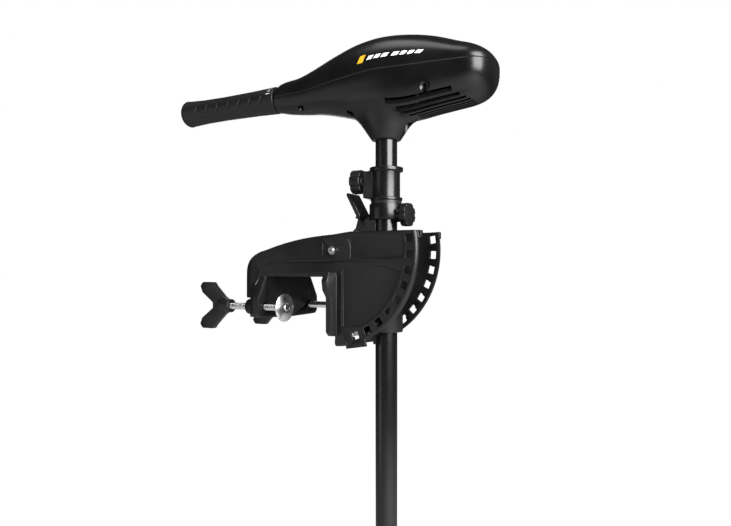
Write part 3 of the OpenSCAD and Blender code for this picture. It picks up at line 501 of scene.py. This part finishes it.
# ---- Shaft ----
# A pultruded composite tube with a polished black gel coat. Glass rovings along it leave a very
# faint grain under the gloss, and the coat mirrors the soft box as one sharp bright line.
shaft_gloss = bpy.data.materials.new("shaft_composite_polished")
shaft_gloss.use_nodes = True
tree = shaft_gloss.node_tree
skin = tree.nodes["Principled BSDF"]
place = add(tree, "ShaderNodeTexCoord").outputs["Object"]
drawn = add(tree, "ShaderNodeMapping", {"Vector": place, "Scale": (1.0, 1.0, 0.02)})
roving = add(tree, "ShaderNodeTexNoise", {"Vector": drawn.outputs[0], "Scale": 900.0, "Detail": 3.0})
bump = add(tree, "ShaderNodeBump", {"Height": roving.outputs["Fac"], "Strength": 0.12, "Distance": 0.02 * MM})
haze = add(tree, "ShaderNodeTexNoise", {"Vector": place, "Scale": 14.0, "Detail": 4.0})
polish = add(tree, "ShaderNodeMapRange", {"Value": haze.outputs["Fac"], "To Min": 0.14, "To Max": 0.26})
tint = add(tree, "ShaderNodeMix", {0: roving.outputs["Fac"], 6: linear("#0a0a0b"), 7: linear("#141416")},
           data_type="RGBA")
tree.links.new(tint.outputs[2], skin.inputs["Base Color"])
tree.links.new(polish.outputs[0], skin.inputs["Roughness"])
tree.links.new(bump.outputs[0], skin.inputs["Normal"])
skin.inputs["IOR"].default_value = 1.55
dress(shaft_gloss, "shaft_tube")

# ---- Head: cover and housing ----
# Two ABS shells meet at a seam that runs round the head. The housing has a flared neck, recessed
# screw bosses, and louvers under the back that let the speed control breathe.
steer = Vector(JOINT["steering"]["pos_m"])
tiller_way = Vector(JOINT["tiller_extend"]["axis"])
turn = math.atan2(-tiller_way.y, -tiller_way.x)
head_at = Matrix.Translation((steer.x, steer.y, pivot.z)) @ Matrix.Rotation(turn, 4, "Z")
# Each station: place along X, crown below the top, height of the keel, half width over the width
STATIONS = [(-160, -43.5, 194.5, 0.19), (-145, -39.5, 191.5, 0.205), (-124, -36.5, 189, 0.24),
            (-98, -28, 187, 0.30), (-67, -16, 181, 0.375), (-32, -4.5, 172, 0.44), (0, 0, 168, 0.48),
            (35, -1.5, 167, 0.497), (70, -8, 173, 0.5), (108, -21, 179, 0.497)]
LAST_X = STATIONS[-1][0]
HEAD_W, HEAD_TOP, SEAM, TILLER_Z, WALL = 98.0, 275.0, 224.5, 213.0, 3.0
BACK, ROUND, SQUARE = 146.0, 38.0, 0.8
SEAM_GROOVE, LIP, BAND, BAND_GROOVE = 0.55, 0.9, (118.4, 119.8), 0.5
head_abs = plastic("head_abs_fine", "#0a0a0b", 0.27, 0.35, 0.02)


def head_row(x):
    """Crown, keel and half width of the head at one station, smoothly between the known ones."""
    if x > LAST_X:
        last, k = STATIONS[-1], min(1.0, (x - LAST_X) / ROUND)
        c = max(0.0, 1 - k ** 3) ** (1 / 2.8)
        return (SEAM + (HEAD_TOP + last[1] - 12 * k - SEAM) * c, SEAM + (last[2] + 8 * k - SEAM) * c,
                HEAD_W * last[3] * c)
    known = np.array(STATIONS)
    out = []
    for column in (1, 2, 3):
        slopes = np.gradient(known[:, column], known[:, 0])
        i = int(np.clip(np.searchsorted(known[:, 0], x) - 1, 0, len(known) - 2))
        h = known[i + 1, 0] - known[i, 0]
        t = (x - known[i, 0]) / h
        p0, p1, m0, m1 = known[i, column], known[i + 1, column], slopes[i] * h, slopes[i + 1] * h
        out.append((2 * t ** 3 - 3 * t * t + 1) * p0 + (t ** 3 - 2 * t * t + t) * m0
                   + (3 * t * t - 2 * t ** 3) * p1 + (t ** 3 - t * t) * m1)
    brow = 5 * (1 - min(1.0, (x + 160) / 9)) ** 2
    return HEAD_TOP + out[0] - brow, out[1], HEAD_W * out[2]


def seam_at(x):
    """Height of the seam, which falls towards the tiller."""
    return SEAM if x > 0 else SEAM + (TILLER_Z - SEAM) * min(1.0, -x / 110)


def shell_point(x, a, up, inset):
    """A point on a shell's skin: a goes from one side, 0, over to the other, pi. The skin dips at the
    seam and at a band round the back of the cover."""
    crown, keel, width = head_row(x)
    seam = seam_at(x)
    x = min(x, BACK - inset - 0.3)
    rise = max(0.5, (crown - seam if up else seam - keel) - inset)
    wide = max(0.4, width - inset)
    s, c = math.sin(a) ** SQUARE if 0 < a < math.pi else 0.0, math.cos(a)
    lip = min(1.0, rise * s / LIP)
    groove = 0.0 if inset else SEAM_GROOVE * (1 - lip) ** 2
    if up and not inset and BAND[0] < x < BAND[1]:
        groove += BAND_GROOVE
    return Vector((x, math.copysign(max(0.3, wide - groove) * abs(c) ** SQUARE, c),
                   seam + (1 if up else -1) * (rise - (groove if groove > 0.4 and s > 0.5 else 0)) * s))


def half_shell(up):
    """The cover, or the housing below it, as a wall with closer rings at its ends and at the seam."""
    closing = [1 - 0.5 * (i / 26) ** 2 for i in range(1, 27)]
    closing += [.45, .39, .33, .27, .21, .16, .11, .07, .04, .02]
    xs = [-160, -159.3, -158.4, -157.3, -156, -154.5, -152.5] + list(np.linspace(-150, LAST_X, 66))
    xs += [LAST_X + ROUND * (1 - c ** 2.8) ** (1 / 3) for c in closing]
    near_seam = [0.006, 0.012, 0.02, 0.035]
    arcs = [0.0] + near_seam + [math.pi * j / 56 for j in range(1, 56)]
    arcs += [math.pi - v for v in reversed(near_seam)] + [math.pi]
    rings = [[shell_point(x, a, up, 0) for a in arcs] + [shell_point(x, a, up, WALL) for a in reversed(arcs)]
             for x in xs]
    points, faces = skin_rings([[head_at @ (p * MM) for p in ring] for ring in rings], False)
    n, m = len(rings[0]), len(arcs)
    for start in (0, (len(rings) - 1) * n):
        faces += [(start + j, start + j + 1, start + n - 2 - j, start + n - 1 - j) for j in range(m - 1)]
    return skin_mesh("shell", points, faces, 40)


def shaped(base, cutters, joined=()):
    """Cuts and joins solids, each given as a mesh."""
    made = bpy.data.objects.new("base", base)
    SCENE.collection.objects.link(made)
    extra = []
    for kind, meshes in (("UNION", joined), ("DIFFERENCE", cutters)):
        for mesh in meshes:
            other = bpy.data.objects.new("tool", mesh)
            SCENE.collection.objects.link(other)
            extra.append(other)
            cut = made.modifiers.new("cut", "BOOLEAN")
            cut.operation, cut.object, cut.solver = kind, other, "MANIFOLD"
    mesh = settled(made)
    for other in extra:
        bpy.data.objects.remove(other)
    return mesh


def block(x0, x1, y0, y1, z0, z1, z2):
    """A block, whose top slopes from z1 to z2 along X."""
    points = [head_at @ (Vector(p) * MM) for p in ((x0, y0, z0), (x1, y0, z0), (x1, y1, z0), (x0, y1, z0),
                                                   (x0, y0, z1), (x1, y0, z2), (x1, y1, z2), (x0, y1, z1))]
    faces = [(0, 3, 2, 1), (4, 5, 6, 7), (0, 1, 5, 4), (1, 2, 6, 5), (2, 3, 7, 6), (3, 0, 4, 7)]
    return skin_mesh("block", points, faces)


def upright_rod(x, y, z0, z1, r, sides=40, stretch=1.0, dome=0.0):
    """An upright rod, whose top may be a dome of some height."""
    steps = [(z0, r), (z1, r)]
    if dome:
        steps += [(z1 + dome * math.sin(t), max(0.02, r * math.cos(t))) for t in np.linspace(0.2, 1.57, 8)]
    rings = [[head_at @ (Vector((x + rr * stretch * math.cos(2 * math.pi * j / sides),
                                 y + rr * math.sin(2 * math.pi * j / sides), z)) * MM) for j in range(sides)]
             for z, rr in steps]
    return skin_mesh("rod", *skin_rings(rings))


piece("head_cover_shell", half_shell(True), head_abs, "shaft", "head_plastic", "head_cover")
NECK_Z, NECK_H, NECK_R, FLARE_X, FLARE_Y, FILLET = 144.4, 29.6, 19.7, 21.3, 11.3, 11


def underside(x, y):
    """Height of the housing's skin below the seam."""
    keel, width = head_row(x)[1:]
    seam = seam_at(x)
    return seam - (seam - keel) * max(0.0, 1 - min(1.0, abs(y) / width) ** 2.5) ** 0.4


def neck_side(angle):
    """The neck's outline in one direction, a cone that sweeps out into the underside of the head."""
    c, s = math.cos(angle), math.sin(angle)

    def cone(z):
        k = (z - NECK_Z) / NECK_H
        r = 1 / math.hypot(c / (NECK_R + FLARE_X * k), s / (NECK_R + FLARE_Y * k))
        return Vector((r * c, r * s, z))

    z = 150.0
    while z < 200 and z < underside(*cone(z).xy):
        z += 0.2
    meet = cone(z)
    out = meet + Vector((c, s, 0)) * 9
    out.z = underside(out.x, out.y) + 0.4
    start = cone(z - FILLET)
    curve = [start.lerp(meet, t).lerp(meet.lerp(out, t), t) for t in np.linspace(0, 1, 9)]
    low = [Vector((r * c, r * s, z)) for z, r in ((143, 14.4), (143, 18), (143.4, 18.9), (NECK_Z, NECK_R))]
    return low + curve + [out + Vector((-c, -s, 2.2)), Vector((15.5 * c, 15.5 * s, 192))]


sides = [neck_side(2 * math.pi * j / 96) for j in range(96)]
neck_rings = [[head_at @ (side[i] * MM) for side in sides] for i in range(len(sides[0]))]
neck = skin_mesh("neck", *skin_rings(neck_rings))
spout = upright_rod(30, 0, 164.5, 176, 7.6)
cutters = [upright_rod(0, 0, 130, 190, 14.3, sides=72)]
# Each louver: distance from the middle, its two ends, and how high it cuts at each
LOUVERS = [(39.0, 14, 100, 192, 209), (31.8, 26, 108, 186, 200), (24.6, 34, 114, 181, 195),
           (17.4, 38, 118, 178, 193)]
LOUVER_HALF, SLOT_HALF = 2.3, 1.9
for side in (-1, 1):
    for wide, x0, x1, z1, z2 in LOUVERS:
        cutters.append(block(x0, x1, side * wide - LOUVER_HALF, side * wide + LOUVER_HALF, 150, z1, z2))
    cutters.append(upright_rod(68, side * 47.5, 186, 196, 6.5, stretch=1.15, dome=7))
    cutters.append(upright_rod(-41, side * 22, 150, 181.5, 5.2))
    cutters.append(upright_rod(-117, side * 18, 150, 196.5, 4.6))
for wide in (-10.2, -3.4, 3.4, 10.2):
    cutters.append(block(48, 120, wide - SLOT_HALF, wide + SLOT_HALF, 150, 177, 192))
cutters.append(upright_rod(30, 0, 140, 190, 6.0))
housing = smoothed(shaped(half_shell(False), cutters, [neck, spout]))
piece("head_housing_shell", housing, head_abs, "shaft", "head_plastic", "head_housing")

# Plain printed bars on both sides of the cover, a generic mark in pale and amber ink
ink_pale = plastic("printed_ink_pale", "#e8e8e6", 0.4, 0.3, 0.01)
ink_amber = plastic("printed_ink_amber", "#d9a521", 0.4, 0.3, 0.01)


def printed(name, side, spans, ink, low=0.16, high=0.34):
    """Thin patches that lie on the cover's side, between two heights of its section."""
    points, faces = [], []
    for x0, x1 in spans:
        for x in np.linspace(x0, x1, 6):
            for k in np.linspace(0, 1, 6):
                a = low + (high - low) * k
                slant = x + 4 * k
                skin_at = shell_point(slant, a if side > 0 else math.pi - a, True, 0)
                points.append(head_at @ ((skin_at + Vector((0, side * 0.14, 0.06))) * MM))
        base = len(points) - 36
        faces += [(base + i * 6 + j, base + (i + 1) * 6 + j, base + (i + 1) * 6 + j + 1, base + i * 6 + j + 1)
                  for i in range(5) for j in range(5)]
    mesh = bpy.data.meshes.new(name)
    mesh.from_pydata(points, [], faces if side > 0 else [face[::-1] for face in faces])
    for face in mesh.polygons:
        face.use_smooth = True
    piece(name, mesh, ink, "shaft", "head_plastic")


PALE_BARS = [(-9, -2), (1, 8), (11, 19), (25, 33), (36, 43), (46, 53), (56, 64)]
for side, word in ((-1, "near"), (1, "far")):
    printed("mark_amber_" + word, side, [(-22, -14)], ink_amber)
    printed("mark_pale_" + word, side, PALE_BARS, ink_pale, 0.19, 0.28)

steel_dark = metal("screw_zinc_dark", "#8d8d8b", 0.35, 0.4)
dress(steel_dark, "housing_screws", "neck_screw")
rubber = plastic("rubber_black_matt", "#101010", 0.7, 0.5, 0.05)
grommet = shaped(upright_rod(30, 0, 164.3, 173, 5.9), [upright_rod(30, 0, 160, 176, 4)])
piece("grommet_rubber", smoothed(grommet), rubber, "shaft", "rubber", "cable_grommet")

# ---- Tiller and twist grip ----
# An acetal tube that pulls out of the head, and on it a moulded grip: slightly waisted, flared at its
# domed end, with rows of short grooves for the fingers and a printed scale next to the ring.
grip_start = Vector(JOINT["grip_twist"]["pos_m"])
grip_at = Matrix.Translation(grip_start) @ tiller_way.to_track_quat("X", "Z").to_matrix().to_4x4()
grip_nylon = plastic("grip_nylon_satin", "#0e0e0f", 0.42, 0.45, 0.05)
GRIP_L, GRIP_R, GRIP_SIDES = 163.0, 18.75, 144
GROOVES, GROOVE_X, GROOVE_STEP, GROOVE_WAVE, GROOVE_HALF, GROOVE_DEEP = 7, 22, 18.5, 3.5, 1.7, 1.15


def grip_radius(x):
    """The waist of the grip: its radius at one place."""
    keys = [(3, GRIP_R - 0.6), (4.5, GRIP_R), (40, GRIP_R - 1.2), (90, GRIP_R - 2), (126, GRIP_R - 1.6),
            (151, GRIP_R - 0.2)]
    return float(np.interp(x, [k[0] for k in keys], [k[1] for k in keys]))


def grip_ring(x, r, cut):
    """One ring of the grip, with four lanes of short wavy finger grooves if it is cut."""
    radii = []
    for j in range(GRIP_SIDES):
        a = 2 * math.pi * j / GRIP_SIDES
        depth = 0.0
        if cut:
            for row in range(GROOVES):
                along = (x - GROOVE_X - GROOVE_STEP * row + GROOVE_WAVE * math.sin(2 * a)) / GROOVE_HALF
                if abs(along) < 1:
                    lane = max(0.0, math.cos(4 * a)) ** 0.35
                    depth = max(depth, GROOVE_DEEP * (1 - along ** 2) * lane)
        radii.append(r - depth)
    return ring(grip_at, x, radii)


profile = [(29, 0.01), (29, 12.6), (3, 12.6), (3, GRIP_R - 1.1), (3.3, GRIP_R - 0.5), (3.9, GRIP_R - 0.15)]
profile += [(x, grip_radius(x)) for x in np.linspace(4.6, GRIP_L - 12, 240)]
dome = [math.radians(a) for a in range(8, 90, 4)]
profile += [(GRIP_L - 9 + 12 * math.sin(a), (GRIP_R + 0.6) * math.cos(a)) for a in dome]
profile += [(GRIP_L + 3, 0.01)]
rings = [grip_ring(x, r, 8 < x < GRIP_L - 12 and r > 14) for x, r in profile]
grip = skin_mesh("grip", *skin_rings(rings), 60)
piece("grip_moulding", grip, grip_nylon, "grip", "grip_plastic", "tiller_grip")

# Speed scale: short printed ticks round the grip beside the ring, every fifth one longer
TICKS, TICK_START, TICK_HALF, INK_RISE = 11, 7, 0.022, 0.08
points, faces = [], []
for k in range(TICKS):
    a = math.radians(20 + 14 * k)
    tick_end = 11.5 if k % 5 else 14
    for x in (TICK_START, (TICK_START + tick_end) / 2, tick_end):
        for w in (-TICK_HALF, TICK_HALF):
            r = grip_radius(x) + INK_RISE
            points.append(grip_at @ (Vector((x, r * math.cos(a + w), r * math.sin(a + w))) * MM))
    faces += [(6 * k, 6 * k + 2, 6 * k + 3, 6 * k + 1), (6 * k + 2, 6 * k + 4, 6 * k + 5, 6 * k + 3)]
mesh = bpy.data.meshes.new("grip_scale")
mesh.from_pydata(points, [], faces)
piece("grip_scale", mesh, ink_pale, "grip", "grip_plastic")
dress(acetal, "tiller_tube", "tiller_bushing")
dress(zinc, "grip_drive_tube")

# ---- Lower unit ----
# A drawn aluminium can between two cast ends, held by four through bolts and painted semi-gloss
# black. The skeg is welded on below, and the two-bladed propeller is moulded in one piece.
paint = plastic("paint_black_semigloss", "#0d0d0e", 0.28, 1.4, 0.03, 0.3)
piece("can_painted", eased("motor_can", 0.5), paint, "shaft", "painted_can", "motor_can")
piece("nose_painted", smoothed(eased("nose_cone", 0.4), 50), paint, "shaft", "cast_black", "nose_cone")
piece("bell_painted", eased("rear_bell", 1.0, 3), paint, "shaft", "cast_black", "rear_bell")
piece("skeg_painted", eased("skeg", 1.2, 3), paint, "shaft", "cast_black", "skeg")
prop_composite = plastic("propeller_composite_moulded", "#101011", 0.3, 0.8, 0.02)
pod = Vector(JOINT["prop_spin"]["pos_m"])
pod_way = Vector(JOINT["prop_spin"]["axis"])
pod_at = Matrix.Translation(pod) @ Matrix.Rotation(math.atan2(pod_way.y, pod_way.x), 4, "Z")
HUB_X, HUB_L, PROP_R, ROOT_R = 75 + 45 + 2, 28.0, 125.0, 19
CHORD, CHORD_SWELL, CHORD_LOSS, THICK, THICK_LOSS = 46, 26, 22, 8, 6
TWIST, TWIST_LOSS, SWEEP, TIP_FROM, TIP_SHARE = 58, 36, 26, 0.86, 0.14


def blade_ring(r, flip):
    """A blade's section at one radius: thinner, flatter and swept back towards the rounded tip."""
    k = (r - ROOT_R) / (PROP_R - ROOT_R)
    chord = CHORD + CHORD_SWELL * math.sin(math.radians(150 * k)) - CHORD_LOSS * k * k
    thick = THICK - THICK_LOSS * k
    twist, sweep = math.radians(TWIST - TWIST_LOSS * k), math.radians(SWEEP * k * k)
    shrink = math.sqrt(max(0.0, 1 - max(0.0, (k - TIP_FROM) / TIP_SHARE) ** 2)) if k > TIP_FROM else 1.0
    section = []
    for j in range(40):
        a = 2 * math.pi * j / 40
        u = chord / 2 * max(0.03, shrink) * math.cos(a)
        v = thick / 2 * math.sin(a) * (0.55 + 0.45 * math.cos(a)) * max(0.2, shrink)
        x = u * math.sin(twist) + v * math.cos(twist)
        y = u * math.cos(twist) - v * math.sin(twist)
        y, z = y * math.cos(sweep) + r * math.sin(sweep), r * math.cos(sweep) - y * math.sin(sweep)
        section.append(pod_at @ (Vector((HUB_X + HUB_L / 2 + x, flip * y, flip * z)) * MM))
    return section


hub_profile = [(HUB_X, 0.01), (HUB_X, 19), (HUB_X + 1, 20.6), (HUB_X + 3, 21.9), (HUB_X + 5, 22),
               (HUB_X + 18, 21), (HUB_X + 24, 18.9), (HUB_X + 27, 17.2), (HUB_X + HUB_L, 16),
               (HUB_X + HUB_L, 0.01)]
hub = turned("hub", hub_profile, pod_at, 96)
shares = list(np.linspace(0, 0.86, 26)) + [.885, .91, .93, .95, .965, .98, .99, .997]
radii = [16 + (PROP_R - 16) * k for k in shares]
blades = [skin_mesh("blade", *skin_rings([blade_ring(r, flip) for r in radii]), 60) for flip in (1, -1)]
bore = turned("bore", [(HUB_X - 5, 4.9), (HUB_X + 40, 4.9)], pod_at)
propeller = smoothed(shaped(hub, [bore], blades), 50)
piece("propeller_moulding", propeller, prop_composite, "rotor", "prop_plastic", "propeller")
piece("prop_nut_moulding", eased("prop_nut", 0.6), knob_nylon, "rotor", "knob_plastic", "prop_nut")
dress(stainless, "motor_axle", "drive_pin", "prop_washer", "through_bolts")

# ---- Inside the motor and the head ----
# What the can and the shells hide: ferrite magnets, a laminated armature with its copper
# commutator, carbon brushes on a fibre plate, bronze bearings, seals, leads and the switch.
brass = metal("brass_turned", "#b08d4f", 0.3, 0.3)
dress(brass, "front_bearing", "rear_bearing")
dress(rubber, "can_seals", "shaft_seal")
dress(metal("ferrite_ground", "#4a4c4f", 0.55, 0.6), "magnets")
dress(metal("laminated_steel", "#77787a", 0.4, 0.4), "armature")
dress(metal("copper_turned", "#b5673a", 0.3, 0.3), "commutator")
dress(plastic("carbon_pressed", "#1c1c1d", 0.6, 0.3, 0.02), "brushes")
dress(plastic("fibre_board", "#5b4630", 0.6, 0.5, 0.03), "brush_plate")
dress(plastic("lead_insulation_black", "#161617", 0.45, 0.5, 0.02), "motor_leads")
dress(plastic("switch_phenolic", "#232326", 0.45, 0.5, 0.02), "speed_switch")
dress(plastic("rotor_nylon_natural", "#cfc8ae", 0.45, 0.5, 0.02), "switch_rotor")
